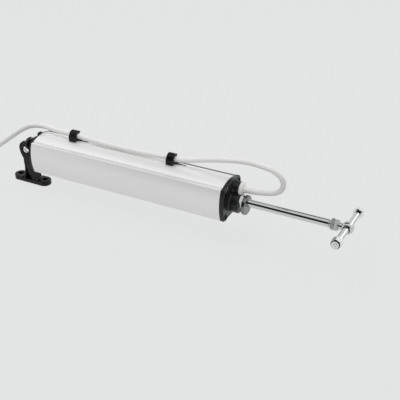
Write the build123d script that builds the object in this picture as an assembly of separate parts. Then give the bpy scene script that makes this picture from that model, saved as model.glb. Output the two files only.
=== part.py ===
# Electric spindle actuator for a window or a skylight, millimetres, +Z up.
#
# A DC motor, gearbox and lead screw lie one behind another in an aluminium profile. The screw
# drives a nut that pushes a chromed rod out of the front. The rear cap hangs in the fork of a
# mounting bracket, and the rod's eye bolt carries a cross pin for the window's bracket.
#
# The origin is the middle of the bracket's underside. +X runs along the rod towards the window
# and Y = 0 is the plane through the rod's axis. It is drawn with the rod pushed out.

import os
from math import atan2, cos, degrees, pi, radians, sin, sqrt, tan

from build123d import *

# Heights and lengths that place everything else
AXIS_HEIGHT = 52.3            # rod axis and pivot axis above the bracket's underside
REAR_FACE = 21.0              # X of the rear cap's outer face
PROFILE_LENGTH = 285.0
STROKE = 100.0
ROD_REACH = 127.0             # rod end in front of the front cap's face, pushed out

# Housing profile
PROFILE_WIDTH = 46.0          # across the corners
PROFILE_HEIGHT = 43.4         # underside to the upper corners
AXIS_ABOVE_FLOOR = 21.3       # rod axis above the profile's underside
SIDE_BULGE = 4.2              # how far each side wall bows out
DOME_RISE = 4.3               # crown above the upper corners
DOME_EDGE_RISE = 0.6          # edge of the dome above the upper corners
WALL = 2.0
LIP_WIDTH = 1.4               # lip outside each top groove
GROOVE_WIDTH = 4.0
GROOVE_DEPTH = 2.0
PORT_RADIUS = 3.0             # round screw ports inside the corners
PORT_SLIT = 1.2
UPPER_PORT = (19.2, 16.7)     # place of an upper port from the rod axis, across and up
LOWER_PORT = (19.0, 17.0)     # place of a lower port from the rod axis, across and down
RAIL_THICKNESS = 1.2          # rail that the control board slides on
RAIL_REACH = 20.6             # inner edge of the rails from the mid-plane

# End caps and their seals
CAP_THICKNESS = 5.0           # front cap
REAR_CAP_THICKNESS = 2.8
CAP_ROUND = 1.0
GASKET_THICKNESS = 0.6
LIP_DEPTH = 3.5               # how far each cap reaches into the profile
LIP_WALL = 1.8
TAB_Y = -0.5                  # small tab on top of the rear cap
TAB_WIDTH = 7.0
TAB_RISE = 2.4                # above the crown
SLIDE_CLEARANCE = 0.2         # between the profile's inside and what slides into it
SEAT_CLEARANCE = 0.05         # between pieces that are pressed or screwed together
RUN_CLEARANCE = 0.05          # radial, between pieces that turn or slide in each other
SIDE_CLEARANCE = 0.3          # between the faces of pieces that pass each other

# Cap screws
SCREW_RADIUS = 1.95
SCREW_LENGTH = 16.0
SCREW_HEAD_RADIUS = 3.4
SCREW_HEAD_HEIGHT = 2.4
SCREW_BOSS_RADIUS = 4.4
SCREW_BOSS_HEIGHT = 0.4
SCREW_SINK = 2.0              # front head's seat below the rim of its boss
REAR_SCREW_SINK = 1.0
SCREW_DRIVE_WIDTH = 0.9

# Rod guide on the front cap
GUIDE_BOSS_RADIUS = 12.7
GUIDE_BOSS_LENGTH = 12.0
GUIDE_BOSS_DROP = 3.8         # centre of the boss below the rod axis
GUIDE_NUT_ACROSS = 16.0
GUIDE_NUT_LENGTH = 4.6
GUIDE_BUSH_RADIUS = 6.4
SEAL_LENGTH = 3.5
FLANGE_RADIUS = 12.7
FLANGE_DROP = 3.8             # centre of the stop flange below the rod axis
FLANGE_LENGTH = 5.0

# Cable gland on the front cap
GLAND_Y = 8.0
GLAND_RISE = 12.3             # above the rod axis
GLAND_BOSS_RADIUS = 9.2
GLAND_BOSS_FOOT = 10.4
GLAND_BOSS_LENGTH = 7.5
GLAND_BODY_RADIUS = 7.0
GLAND_TIP_RADIUS = 4.3
GLAND_TIP_LENGTH = 8.0
GLAND_SEAT_DEPTH = 6.0
GLAND_FLANGE = 0.6            # how far its flange covers the mouth of the boss

# Rod and its drive
ROD_RADIUS = 5.0
ROD_BORE_RADIUS = 4.0
SCREW_SPINDLE_RADIUS = 3.5    # lead screw
NUT_RADIUS = 9.4
NUT_FLANGE_LENGTH = 12.0
NUT_HUB_RADIUS = 7.4
NUT_HUB_LENGTH = 8.0
NUT_KEY_WIDTH = 3.6
NUT_KEY_REACH = 12.6
NUT_STOP_GAP = 1.0            # nut to the front cap's inner collar, pushed out
TUBE_WALL = 1.5
TUBE_SLOT_WIDTH = 4.0
TUBE_RAIL_REACH = 14.0
TUBE_RAIL_HEIGHT = 14.0
COLLAR_LENGTH = 4.0           # collars that hold the guide tube's two ends

# Rod end
ROD_NUT_ACROSS = 13.0
ROD_NUT_LENGTH = 6.1
LOCK_NUT_LENGTH = 4.9
EYE_RADIUS = 7.8
EYE_THICKNESS = 8.0
EYE_ROUND = 2.4               # rounding of the eye's two rims
EYE_REACH = 21.6              # eye centre in front of the rod's end
EYE_SHANK_RADIUS = 4.0
EYE_SHANK_LENGTH = 18.0       # inside the rod

# Cross pin
PIN_RADIUS = 4.0
PIN_THREAD_RADIUS = 3.0
PIN_CLOCK = 5.5               # degrees that the pin is turned about the rod axis
PIN_NEAR_END = 49.5           # near end of the thread, from the eye's middle
PIN_SHOULDER = 41.0           # where the near thread begins
PIN_FAR_END = 51.0
COLLAR_ACROSS = 13.0          # hexagon collars on the pin
PIN_COLLAR_LENGTH = 8.0
NEAR_COLLAR = 26.0            # inner faces, from the eye's middle
FAR_COLLAR = 42.0
NEAR_WASHER = 34.1
FAR_WASHER = 35.0
WASHER_RADIUS = 6.0
WASHER_THICKNESS = 1.6
PIN_NUT_ACROSS = 10.0
PIN_NUT_LENGTH = 7.0
THREAD_SEAT = 0.01            # gap between a thread and the nut on it

# Mounting bracket
FOOT_LENGTH = 60.0
FOOT_WIDTH = 18.0
FOOT_HEIGHT = 6.5
FOOT_STEP = 1.2               # depth of the stepped middle of the foot
FOOT_STEP_HALF = 12.0
HOLE_SPACING = 42.4
HOLE_RADIUS = 2.5
HOLE_SINK_RADIUS = 4.2
HOLE_SINK_DEPTH = 1.4
ARM_TOP = 12.2                # flat top of the fork above the pivot
ARM_BACK = 4.6                # straight edge of the fork towards the housing
ARM_ROUND = 10.0
LEG_HALF_WAIST = 5.1
LEG_HALF_FOOT = 9.0
LEG_WAIST_HEIGHT = 32.0
FORK_BOTTOM = 36.8
LUG_HALF = 4.2
LUG_RADIUS = 10.75
LUG_SLOPE = 29.2              # degrees, upper edge of the lug
POCKET_RIM = 2.0
POCKET_DEPTH = 5.0
POCKET_TOP = 28.0

# Pivot screw
PIVOT_RADIUS = 3.0
PIVOT_BUSH_WALL = 1.0
PIVOT_HEAD_RADIUS = 5.0
PIVOT_HEAD_HEIGHT = 2.2
PIVOT_SINK_RADIUS = 5.6
PIVOT_NUT_ACROSS = 10.0
PIVOT_NUT_LENGTH = 5.0
SLOT_WIDTH = 1.4
SLOT_DEPTH = 1.1

# Motor, gearbox and bearing, each from the rear cap forwards
WIRING_SPACE = 18.0           # between the rear cap's face and the motor
MOTOR_RADIUS = 15.5
MOTOR_LENGTH = 56.0
MOTOR_BELL_LENGTH = 4.0
MOTOR_BOSS_RADIUS = 5.0
MOTOR_BOSS_LENGTH = 2.5
GEARBOX_RADIUS = 17.0
GEARBOX_LENGTH = 36.0
OUTPUT_SHAFT_RADIUS = 3.0
OUTPUT_SHAFT_LENGTH = 11.0
COUPLING_RADIUS = 6.5
COUPLING_LENGTH = 16.0
CARRIER_BORE_RADIUS = 8.0
CARRIER_LENGTH = 31.0
BEARING_RADIUS = 9.5
BEARING_LENGTH = 6.0
BEARING_RING = 1.9
BALL_RADIUS = 1.7
BALL_COUNT = 8
SPINDLE_COLLAR_RADIUS = 5.5
SPINDLE_COLLAR_LENGTH = 2.2

# Control board
BOARD_THICKNESS = 1.6
BOARD_HALF_WIDTH = 22.0
BOARD_LENGTH = 112.0
SWITCH_SIZE = (13.0, 6.0, 13.0)
PLUNGER_RADIUS = 1.0

# Cable and its clips
CABLE_RADIUS = 3.5
CLIP_WIDTH = 10.0
CLIP_CENTRES = (76.8, 226.3)
CLIP_BASE = 2.6
CLIP_HOOK_RADIUS = 7.4
CLIP_FRONT = -1.5
CABLE_Y = 7.0
CABLE_CLEAR = 2.2             # clipped cable above the dome's crown
COIL_CENTRE = (-150.0, -22.0)
COIL_RADIUS = 38.5            # middle of the turns
COIL_TURNS_WIDE = 3
COIL_TURNS_HIGH = 2
CORE_RADIUS = 1.0
CORE_LENGTH = 26.0

# Places worked out from the sizes above
PROFILE_FLOOR = AXIS_HEIGHT - AXIS_ABOVE_FLOOR
PROFILE_TOP = PROFILE_FLOOR + PROFILE_HEIGHT
CROWN = PROFILE_TOP + DOME_RISE
REAR_SEAT = REAR_FACE + REAR_CAP_THICKNESS
PROFILE_REAR = REAR_SEAT + GASKET_THICKNESS
PROFILE_FRONT = PROFILE_REAR + PROFILE_LENGTH
FRONT_SEAT = PROFILE_FRONT + GASKET_THICKNESS
FRONT_FACE = FRONT_SEAT + CAP_THICKNESS
FRONT_SCREW_SEAT = FRONT_FACE + SCREW_BOSS_HEIGHT - SCREW_SINK
REAR_SCREW_SEAT = REAR_FACE + REAR_SCREW_SINK
ROD_END = FRONT_FACE + ROD_REACH
EYE_X = ROD_END + EYE_REACH
GUIDE_END = FRONT_FACE + GUIDE_BOSS_LENGTH
GUIDE_NUT_END = GUIDE_END + GUIDE_NUT_LENGTH
GLAND_Z = AXIS_HEIGHT + GLAND_RISE
GLAND_MOUTH = FRONT_FACE + GLAND_BOSS_LENGTH
GLAND_TIP = GLAND_MOUTH + GLAND_TIP_LENGTH
NUT_FRONT = FRONT_SEAT - COLLAR_LENGTH - NUT_STOP_GAP
NUT_REAR = NUT_FRONT - NUT_HUB_LENGTH - NUT_FLANGE_LENGTH
MOTOR_REAR = REAR_FACE + WIRING_SPACE + MOTOR_BELL_LENGTH
MOTOR_FRONT = MOTOR_REAR + MOTOR_LENGTH
GEARBOX_FRONT = MOTOR_FRONT + GEARBOX_LENGTH
CARRIER_FRONT = GEARBOX_FRONT + CARRIER_LENGTH
COUPLING_REAR = GEARBOX_FRONT + SIDE_CLEARANCE
COUPLING_FRONT = COUPLING_REAR + COUPLING_LENGTH
BEARING_REAR = COUPLING_FRONT + SIDE_CLEARANCE
BEARING_FRONT = BEARING_REAR + BEARING_LENGTH
TUBE_BORE = NUT_RADIUS + RUN_CLEARANCE
TUBE_RADIUS = TUBE_BORE + TUBE_WALL
BOARD_FLOOR = AXIS_HEIGHT + UPPER_PORT[1] - PORT_RADIUS - 0.1 - BOARD_THICKNESS
BOARD_FRONT = FRONT_SEAT - LIP_DEPTH - 20.0
BOARD_REAR = BOARD_FRONT - BOARD_LENGTH
SWITCH_CENTRES = (NUT_REAR - STROKE + 4.0, NUT_REAR + 4.0)
CABLE_Z = CROWN + CABLE_CLEAR + CABLE_RADIUS + 0.6
PIVOT = (0, 0, AXIS_HEIGHT)
PORTS = [
    (side * UPPER_PORT[0], AXIS_HEIGHT + UPPER_PORT[1]) for side in (-1, 1)
] + [
    (side * LOWER_PORT[0], AXIS_HEIGHT - LOWER_PORT[1]) for side in (-1, 1)
]

# Route of the free cable from the gland to the coil, chosen by hand
CABLE_ROUTE = [
    (GLAND_TIP, GLAND_Y, GLAND_Z),
    (341.0, GLAND_Y, GLAND_Z),
    (355.0, 8.0, 66.8),
    (369.2, 7.3, 70.4),
    (380.0, 4.8, 80.6),
    (380.0, 1.2, 95.4),
    (369.2, -1.3, 106.0),
    (352.0, 0.4, 107.4),
    (334.0, 3.4, 106.8),
    (316.0, 6.0, 103.6),
    (297.0, 7.3, 99.2),
    (276.0, 7.5, 94.6),
    (256.0, 7.2, 89.2),
    (239.0, 7.0, 85.3),
    (214.0, 7.0, 84.7),
    (190.0, 7.1, 83.2),
    (161.0, 7.3, 82.3),
    (131.0, 7.2, 82.4),
    (106.0, 7.0, 83.3),
    (90.0, 7.0, 84.8),
    (64.0, 7.0, 85.2),
    (44.0, 8.0, 85.3),
    (24.0, 10.0, 86.2),
    (4.0, 13.6, 82.6),
    (-15.0, 17.6, 74.0),
    (-35.0, 21.6, 60.4),
    (-55.0, 22.8, 45.2),
    (-75.0, 23.4, 29.8),
    (-93.0, 23.8, 17.2),
    (-111.0, 24.2, 7.6),
    (-130.0, 24.0, 3.7),
    (-150.0, 23.5, 3.5),
]

# Route of the cable's far end, from the coil's upper turn to where the sheath stops
TAIL_ROUTE = [
    (-150.0, 23.5, 10.5),
    (-164.0, 24.8, 10.2),
    (-179.0, 24.4, 6.0),
    (-194.0, 21.0, 3.6),
    (-207.0, 14.0, 3.5),
]


def along_x(section, start, end):
    """A section drawn across and up, drawn out along X."""
    return extrude(Plane.YZ.offset(start) * section, end - start)


def bar(radius, start, end, y=0.0, z=AXIS_HEIGHT):
    """A round bar along X."""
    solid = Cylinder(radius, end - start, align=(Align.CENTER, Align.CENTER, Align.MIN))
    return Plane.YZ.offset(start) * (Pos(y, z, 0) * solid)


def turned(*outline, y=0.0, z=AXIS_HEIGHT):
    """A piece turned about an axis along X, from its outline of X and radius."""
    face = make_face(Polyline(*outline, close=True).edges())
    return Pos(0, y, z) * revolve(Plane.XZ * face, Axis.X)


def hex_nut(across, length, bore):
    """A hexagon nut with chamfered corners, standing on its face at the origin, along +Z."""
    corner = across / sqrt(3)
    chamfer = corner - across / 2
    blank = extrude(RegularPolygon(across / 2, 6, major_radius=False), length)
    outline = [
        (0, 0), (across / 2, 0), (corner, chamfer), (corner, length - chamfer),
        (across / 2, length), (0, length),
    ]
    face = make_face(Polyline(*outline, close=True).edges())
    blank = blank & revolve(Plane.XZ * face, Axis.Z)
    return blank - Cylinder(bore, 3 * length)


def screw_head(radius, height, slot_width, slot_depth, cross=False):
    """A domed screw head standing on the origin along +Z, with a slot or a cross in it."""
    rim = height * 0.55
    edges = Line((0, 0), (radius, 0)).edges() + Line((radius, 0), (radius, rim)).edges()
    edges += ThreePointArc((radius, rim), (radius * 0.6, height * 0.92), (0, height)).edges()
    edges += Line((0, height), (0, 0)).edges()
    head = revolve(Plane.XZ * make_face(edges), Axis.Z)
    slot = Pos(0, 0, height) * Box(4 * radius, slot_width, 2 * slot_depth)
    if cross:
        slot = Pos(0, 0, height) * Box(1.2 * radius, slot_width, 2 * slot_depth)
        slot += Pos(0, 0, height) * Box(slot_width, 1.2 * radius, 2 * slot_depth)
    return head - slot


def outer_section(grooved):
    """The profile's outline across and up, with or without its two top grooves."""
    corner = PROFILE_WIDTH / 2
    middle = PROFILE_FLOOR + PROFILE_HEIGHT / 2
    groove_outer = corner - LIP_WIDTH
    groove_inner = groove_outer - GROOVE_WIDTH
    groove_floor = PROFILE_TOP - GROOVE_DEPTH
    dome_edge = PROFILE_TOP + DOME_EDGE_RISE
    edges = Line((-corner, PROFILE_FLOOR), (corner, PROFILE_FLOOR)).edges()
    for side in (-1, 1):
        low = (side * corner, PROFILE_FLOOR)
        high = (side * corner, PROFILE_TOP)
        edges += ThreePointArc(low, (side * (corner + SIDE_BULGE), middle), high).edges()
        if grooved:
            edges += Polyline(
                high,
                (side * groove_outer, PROFILE_TOP),
                (side * groove_outer, groove_floor),
                (side * groove_inner, groove_floor),
                (side * groove_inner, dome_edge),
            ).edges()
        else:
            edges += Line(high, (side * groove_inner, dome_edge)).edges()
    edges += ThreePointArc((-groove_inner, dome_edge), (0, CROWN), (groove_inner, dome_edge)).edges()
    return make_face(edges)


def cavity_section(clearance=0.0):
    """The inside of the profile, drawn in by a clearance for what slides into it."""
    inset = WALL + clearance
    corner = PROFILE_WIDTH / 2 - inset
    floor = PROFILE_FLOOR + inset
    middle = PROFILE_FLOOR + PROFILE_HEIGHT / 2
    shoulder = PROFILE_TOP - GROOVE_DEPTH - inset
    step = PROFILE_WIDTH / 2 - LIP_WIDTH - GROOVE_WIDTH - inset
    dome_edge = PROFILE_TOP + DOME_EDGE_RISE - inset
    edges = Line((-corner, floor), (corner, floor)).edges()
    for side in (-1, 1):
        high = (side * corner, shoulder)
        edges += ThreePointArc(
            (side * corner, floor), (side * (corner + SIDE_BULGE), middle), high
        ).edges()
        edges += Polyline(high, (side * step, shoulder), (side * step, dome_edge)).edges()
    edges += ThreePointArc((-step, dome_edge), (0, CROWN - inset), (step, dome_edge)).edges()
    return make_face(edges)


def at_ports(shape):
    """Copies of a flat shape at the four screw ports."""
    return [Pos(y, z) * shape for y, z in PORTS]


def housing_profile():
    """The extruded aluminium housing, with screw ports and board rails inside."""
    outside = outer_section(grooved=True)
    section = outside - cavity_section()
    for ring in at_ports(Circle(PORT_RADIUS)):
        section += ring & outside
    rail_z = BOARD_FLOOR - 0.1 - RAIL_THICKNESS / 2
    rail_length = PROFILE_WIDTH / 2 + SIDE_BULGE - RAIL_REACH
    for side in (-1, 1):
        rail = Pos(side * (RAIL_REACH + rail_length / 2), rail_z) * Rectangle(rail_length, RAIL_THICKNESS)
        section += rail & outside
    for y, z in PORTS:
        inward = degrees(atan2(AXIS_HEIGHT - z, -y))
        slit = Rectangle(PORT_RADIUS + 1, PORT_SLIT, align=(Align.MIN, Align.CENTER))
        section -= Pos(y, z) * Circle(SCREW_RADIUS + SEAT_CLEARANCE)
        section -= Pos(y, z) * (Rot(0, 0, inward) * slit)
    return along_x(section, PROFILE_REAR, PROFILE_FRONT)


def gasket(start):
    """A flat seal between the profile's end and its cap."""
    section = outer_section(grooved=False) - cavity_section()
    for ring in at_ports(Circle(PORT_RADIUS)):
        section += ring & outer_section(grooved=False)
    for hole in at_ports(Circle(SCREW_RADIUS + SLIDE_CLEARANCE)):
        section -= hole
    return along_x(section, start, start + GASKET_THICKNESS)


def cap_lip():
    """The thin wall with which a cap reaches into the profile, clear of ports and rails."""
    lip = cavity_section(SLIDE_CLEARANCE) - cavity_section(SLIDE_CLEARANCE + LIP_WALL)
    reach = PROFILE_WIDTH
    notch_inner = UPPER_PORT[0] - PORT_RADIUS - 1
    rail_foot = BOARD_FLOOR - RAIL_THICKNESS - 0.5
    port_top = AXIS_HEIGHT - LOWER_PORT[1] + PORT_RADIUS + 1
    for side in (-1, 1):
        upper = Rectangle(reach, reach, align=(Align.MIN, Align.MIN))
        lower = Rectangle(reach, reach, align=(Align.MIN, Align.MAX))
        if side < 0:
            upper = mirror(upper, Plane.YZ)
            lower = mirror(lower, Plane.YZ)
        lip -= Pos(side * notch_inner, rail_foot) * upper
        lip -= Pos(side * notch_inner, port_top) * lower
    return lip


def front_cap():
    """The moulded front cap, with the rod guide, the gland boss and its screw bosses."""
    plate = along_x(outer_section(grooved=False), FRONT_SEAT, FRONT_FACE)
    rim = plate.faces().sort_by(Axis.X)[-1].edges()
    cap = fillet(rim, CAP_ROUND)
    cap += along_x(cap_lip(), FRONT_SEAT - LIP_DEPTH, FRONT_SEAT + 0.1)
    cap += bar(TUBE_BORE - SEAT_CLEARANCE, FRONT_SEAT - COLLAR_LENGTH, FRONT_SEAT + 0.1)
    cap += turned(
        (FRONT_SEAT, 0), (FRONT_SEAT, GUIDE_BOSS_RADIUS + 1.6), (FRONT_FACE, GUIDE_BOSS_RADIUS + 1.6),
        (FRONT_FACE + 1.6, GUIDE_BOSS_RADIUS), (GUIDE_END - 1, GUIDE_BOSS_RADIUS),
        (GUIDE_END, GUIDE_BOSS_RADIUS - 1), (GUIDE_END, 0), z=AXIS_HEIGHT - GUIDE_BOSS_DROP,
    )
    relief = GLAND_BODY_RADIUS + GLAND_FLANGE + SIDE_CLEARANCE
    cap -= bar(relief, GLAND_MOUTH, GUIDE_END + 1, GLAND_Y, GLAND_Z)
    cap += turned(
        (FRONT_SEAT, 0), (FRONT_SEAT, GLAND_BOSS_FOOT), (FRONT_FACE, GLAND_BOSS_FOOT),
        (FRONT_FACE + 2.0, GLAND_BOSS_RADIUS + 0.3), (GLAND_MOUTH - 0.6, GLAND_BOSS_RADIUS),
        (GLAND_MOUTH, GLAND_BOSS_RADIUS - 0.6), (GLAND_MOUTH, 0), y=GLAND_Y, z=GLAND_Z,
    )
    for y, z in PORTS:
        boss = bar(SCREW_BOSS_RADIUS, FRONT_SEAT + 1, FRONT_FACE + SCREW_BOSS_HEIGHT, y, z)
        cap += boss & along_x(outer_section(grooved=False), FRONT_SEAT, GUIDE_END)
    for y, z in PORTS:
        cap -= bar(SCREW_RADIUS + SLIDE_CLEARANCE, FRONT_SEAT - 1, GUIDE_END, y, z)
        cap -= bar(SCREW_HEAD_RADIUS + SLIDE_CLEARANCE, FRONT_SCREW_SEAT, GUIDE_END, y, z)
    cap -= bar(GUIDE_BUSH_RADIUS + SEAT_CLEARANCE, FRONT_SEAT - COLLAR_LENGTH - 1, GUIDE_END + 1)
    cap -= bar(CABLE_RADIUS + SLIDE_CLEARANCE, FRONT_SEAT - LIP_DEPTH - 1, GLAND_TIP, GLAND_Y, GLAND_Z)
    cap -= bar(
        GLAND_BODY_RADIUS + SEAT_CLEARANCE, GLAND_MOUTH - GLAND_SEAT_DEPTH, GLAND_TIP, GLAND_Y, GLAND_Z
    )
    return cap


def lug_section():
    """Side view of the rear cap's lug, a teardrop about the pivot that widens to the cap."""
    rise = radians(LUG_SLOPE)
    touch_x = -LUG_RADIUS * sin(rise)
    touch_z = AXIS_HEIGHT + LUG_RADIUS * cos(rise)
    back = REAR_FACE + 0.1
    upper_back = touch_z + (back - touch_x) * tan(rise)
    bottom = AXIS_HEIGHT - LUG_RADIUS
    edges = Line((touch_x, touch_z), (back, upper_back)).edges()
    edges += Line((back, upper_back), (back, bottom)).edges()
    edges += Line((back, bottom), (0, bottom)).edges()
    edges += ThreePointArc((0, bottom), (-LUG_RADIUS, AXIS_HEIGHT), (touch_x, touch_z)).edges()
    return make_face(edges)


def rear_cap():
    """The moulded rear cap, with the lug that hangs in the bracket's fork."""
    plate = along_x(outer_section(grooved=False), REAR_FACE, REAR_SEAT)
    rim = plate.faces().sort_by(Axis.X)[0].edges()
    cap = fillet(rim, CAP_ROUND)
    cap += along_x(cap_lip(), REAR_SEAT - 0.1, REAR_SEAT + LIP_DEPTH)
    cap += extrude(Plane.XZ * lug_section(), LUG_HALF, both=True)
    tab = Pos(TAB_Y, CROWN) * RectangleRounded(TAB_WIDTH, 2 * TAB_RISE, 1.0)
    cap += along_x(tab, REAR_FACE, REAR_SEAT)
    for y, z in PORTS:
        cap -= bar(SCREW_RADIUS + SLIDE_CLEARANCE, REAR_FACE - 1, REAR_SEAT + 1, y, z)
        cap -= bar(SCREW_HEAD_RADIUS + SLIDE_CLEARANCE, REAR_FACE - 1, REAR_SCREW_SEAT, y, z)
    bush = Cylinder(PIVOT_RADIUS + PIVOT_BUSH_WALL + SEAT_CLEARANCE, 4 * LUG_HALF)
    return cap - Pos(*PIVOT) * (Rot(90, 0, 0) * bush)


def cap_screw():
    """One cap screw, its head's underside at the origin and its shank along -Z."""
    head = screw_head(SCREW_HEAD_RADIUS, SCREW_HEAD_HEIGHT, SCREW_DRIVE_WIDTH, 1.0, cross=True)
    shank = Cylinder(SCREW_RADIUS, SCREW_LENGTH, align=(Align.CENTER, Align.CENTER, Align.MAX))
    return head + shank


def front_cap_screws():
    seat = Plane.YZ.offset(FRONT_SCREW_SEAT)
    return [seat * (Pos(y, z, 0) * cap_screw()) for y, z in PORTS]


def rear_cap_screws():
    seat = Plane(origin=(REAR_SCREW_SEAT, 0, 0), x_dir=(0, -1, 0), z_dir=(-1, 0, 0))
    return [seat * (Pos(-y, z, 0) * cap_screw()) for y, z in PORTS]


def rod_guide_bush():
    """The plain bearing that the rod slides in."""
    return turned(
        (FRONT_SEAT - COLLAR_LENGTH, ROD_RADIUS + RUN_CLEARANCE),
        (FRONT_SEAT - COLLAR_LENGTH, GUIDE_BUSH_RADIUS),
        (GUIDE_END, GUIDE_BUSH_RADIUS),
        (GUIDE_END, ROD_RADIUS + RUN_CLEARANCE),
    )


def guide_nut():
    """The chromed hexagon that closes the rod guide and holds the wiper."""
    nut = Plane.YZ.offset(GUIDE_END) * (
        Pos(0, AXIS_HEIGHT, 0) * hex_nut(GUIDE_NUT_ACROSS, GUIDE_NUT_LENGTH, ROD_RADIUS + SIDE_CLEARANCE)
    )
    seat = bar(GUIDE_BUSH_RADIUS + SEAT_CLEARANCE, GUIDE_END - 1, GUIDE_END + SEAL_LENGTH)
    return nut - seat


def rod_wiper_seal():
    """The rubber ring that wipes the rod, with a thin lip."""
    inner = ROD_RADIUS + RUN_CLEARANCE
    return turned(
        (GUIDE_END, inner), (GUIDE_END, GUIDE_BUSH_RADIUS), (GUIDE_END + SEAL_LENGTH, GUIDE_BUSH_RADIUS),
        (GUIDE_END + SEAL_LENGTH, inner + 0.8), (GUIDE_END + 1.2, inner + 0.8), (GUIDE_END + 0.6, inner),
    )


def guide_flange():
    """The round stop flange in front of the guide nut, set low on the rod."""
    centre = AXIS_HEIGHT - FLANGE_DROP
    disc = turned(
        (GUIDE_NUT_END, 0), (GUIDE_NUT_END, FLANGE_RADIUS - 1), (GUIDE_NUT_END + 1, FLANGE_RADIUS),
        (GUIDE_NUT_END + FLANGE_LENGTH - 0.8, FLANGE_RADIUS),
        (GUIDE_NUT_END + FLANGE_LENGTH, FLANGE_RADIUS - 0.8), (GUIDE_NUT_END + FLANGE_LENGTH, 0),
        z=centre,
    )
    return disc - bar(ROD_RADIUS + SIDE_CLEARANCE, GUIDE_NUT_END - 1, GUIDE_NUT_END + FLANGE_LENGTH + 1)


def cable_gland():
    """The pale tapered grommet that the cable leaves through."""
    seat = GLAND_MOUTH - GLAND_SEAT_DEPTH
    bore = CABLE_RADIUS + SEAT_CLEARANCE
    return turned(
        (seat, bore), (seat, GLAND_BODY_RADIUS), (GLAND_MOUTH, GLAND_BODY_RADIUS),
        (GLAND_MOUTH, GLAND_BODY_RADIUS + GLAND_FLANGE), (GLAND_MOUTH + 1.0, GLAND_BODY_RADIUS + GLAND_FLANGE),
        (GLAND_MOUTH + 3.8, GLAND_TIP_RADIUS + 0.6), (GLAND_TIP - 0.6, GLAND_TIP_RADIUS),
        (GLAND_TIP, GLAND_TIP_RADIUS - 0.4), (GLAND_TIP, bore), y=GLAND_Y, z=GLAND_Z,
    )


def cable_inner_end():
    """The clamped stretch of cable through the gland to the control board."""
    return bar(CABLE_RADIUS, BOARD_FRONT + 0.3, GLAND_TIP, GLAND_Y, GLAND_Z)


def push_rod():
    """The hollow chromed rod, screwed into the drive nut's hub."""
    start = NUT_FRONT - NUT_HUB_LENGTH
    return turned(
        (start, ROD_BORE_RADIUS), (start, ROD_RADIUS), (ROD_END - 0.6, ROD_RADIUS),
        (ROD_END, ROD_RADIUS - 0.6), (ROD_END, ROD_BORE_RADIUS),
    )


def drive_nut():
    """The nut that the lead screw drives, kept from turning by its key."""
    flange_end = NUT_FRONT - NUT_HUB_LENGTH
    bore = SCREW_SPINDLE_RADIUS + RUN_CLEARANCE
    socket = ROD_RADIUS + 0.01
    nut = turned(
        (NUT_REAR, bore), (NUT_REAR, NUT_RADIUS), (flange_end, NUT_RADIUS),
        (flange_end, NUT_HUB_RADIUS), (NUT_FRONT, NUT_HUB_RADIUS), (NUT_FRONT, socket),
        (flange_end, socket), (flange_end, bore),
    )
    key = Pos((NUT_REAR + flange_end) / 2, (NUT_KEY_REACH + NUT_RADIUS - 1) / 2, AXIS_HEIGHT) * Box(
        NUT_FLANGE_LENGTH, NUT_KEY_REACH - NUT_RADIUS + 1, NUT_KEY_WIDTH
    )
    return nut + key


def nut_guide_tube():
    """The tube that the nut slides in, with a slot for its key and rails for the switches."""
    start = CARRIER_FRONT + SIDE_CLEARANCE
    end = FRONT_SEAT - SIDE_CLEARANCE
    tube = bar(TUBE_RADIUS, start, end)
    middle = (start + end) / 2
    tube += Pos(middle, TUBE_RAIL_REACH / 2, AXIS_HEIGHT) * Box(end - start, TUBE_RAIL_REACH, TUBE_RAIL_HEIGHT)
    tube -= bar(TUBE_BORE, start - 1, end + 1)
    slot = Box(end - start + 2, 2 * TUBE_RAIL_REACH, TUBE_SLOT_WIDTH)
    return tube - Pos(middle, TUBE_RAIL_REACH + 4, AXIS_HEIGHT) * slot


def motor_can():
    """The motor's steel can, with its front boss in the gearbox."""
    return turned(
        (MOTOR_REAR, 0), (MOTOR_REAR, MOTOR_RADIUS), (MOTOR_FRONT - 1.5, MOTOR_RADIUS),
        (MOTOR_FRONT, MOTOR_RADIUS - 1.5), (MOTOR_FRONT, 0),
    )


def motor_end_bell():
    """The motor's moulded rear end, with its bearing boss and two tags."""
    start = MOTOR_REAR - MOTOR_BELL_LENGTH
    bell = turned(
        (start - MOTOR_BOSS_LENGTH, 0), (start - MOTOR_BOSS_LENGTH, MOTOR_BOSS_RADIUS),
        (start, MOTOR_BOSS_RADIUS), (start, MOTOR_RADIUS - 2), (start + 1, MOTOR_RADIUS - 0.5),
        (MOTOR_REAR, MOTOR_RADIUS - 0.5), (MOTOR_REAR, 0),
    )
    for side in (-1, 1):
        bell += Pos(start - 2.5, side * 9.5, AXIS_HEIGHT) * Box(7, 0.8, 4)
    return bell


def gearbox_housing():
    """The closed planetary gearbox between the motor and the bearing carrier."""
    body = turned(
        (MOTOR_FRONT, 0), (MOTOR_FRONT, GEARBOX_RADIUS - 1.5), (MOTOR_FRONT + 2, GEARBOX_RADIUS),
        (GEARBOX_FRONT, GEARBOX_RADIUS), (GEARBOX_FRONT, 0),
    )
    body -= turned(
        (MOTOR_FRONT + 11, GEARBOX_RADIUS + 1), (MOTOR_FRONT + 11, GEARBOX_RADIUS - 0.6),
        (MOTOR_FRONT + 12, GEARBOX_RADIUS - 0.6), (MOTOR_FRONT + 12, GEARBOX_RADIUS + 1),
    )
    shaft = bar(OUTPUT_SHAFT_RADIUS + RUN_CLEARANCE, GEARBOX_FRONT - 6, GEARBOX_FRONT + 1)
    return body - shaft


def gearbox_output_shaft():
    """The slow shaft, with the flat that the coupling's grub screw sits on."""
    end = GEARBOX_FRONT + OUTPUT_SHAFT_LENGTH
    shaft = bar(OUTPUT_SHAFT_RADIUS, GEARBOX_FRONT - 5.5, end)
    flat = Pos(end - 3, 0, AXIS_HEIGHT + OUTPUT_SHAFT_RADIUS) * Box(6.2, 8, 1)
    return shaft - flat


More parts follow.
